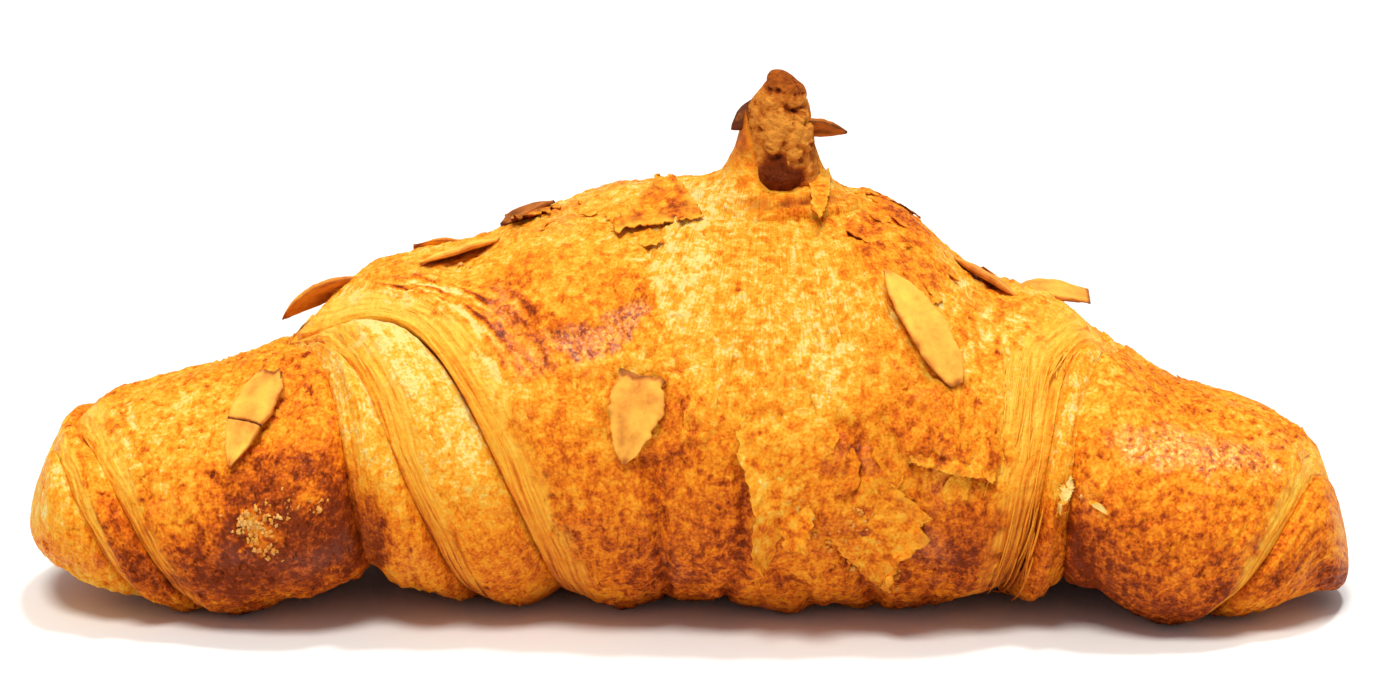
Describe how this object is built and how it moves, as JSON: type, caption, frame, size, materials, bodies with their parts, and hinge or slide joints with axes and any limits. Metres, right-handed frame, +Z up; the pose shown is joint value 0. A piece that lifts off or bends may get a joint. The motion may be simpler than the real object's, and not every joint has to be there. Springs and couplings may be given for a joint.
{
  "type": "almond croissant",
  "caption": "Almond croissant: a gently curved roll of layered, browned dough with torn flakes, a peak of baked almond paste through its crown and sliced almonds on its crust.",
  "frame": {"origin": "middle of the footprint, on the surface that the croissant rests on", "axes": "+X along the roll, -Y to the front, +Z up"},
  "size_m": [0.18, 0.077, 0.0706],
  "materials": {
    "crust": "baked golden crust, browned low down, glossy where glazed",
    "almond_paste": "rough, dark baked paste",
    "almond": "dry sliced almond, toasted at the edges"
  },
  "bodies": {
    "root": {"croissant_roll": "crust", "almond_paste_peak": "almond_paste", "almond_slice_left_horn": "almond", "almond_slice_left_shoulder": "almond", "almond_slice_left_ridge": "almond", "almond_slice_left_crown": "almond", "almond_slice_middle": "almond", "almond_slice_right": "almond", "almond_slice_right_ridge": "almond", "almond_slice_right_shoulder": "almond", "almond_slice_back_left": "almond", "almond_slice_back_middle": "almond", "almond_slice_back_right": "almond", "almond_slice_peak_right": "almond", "almond_slice_peak_left": "almond"}
  },
  "joints": []
}
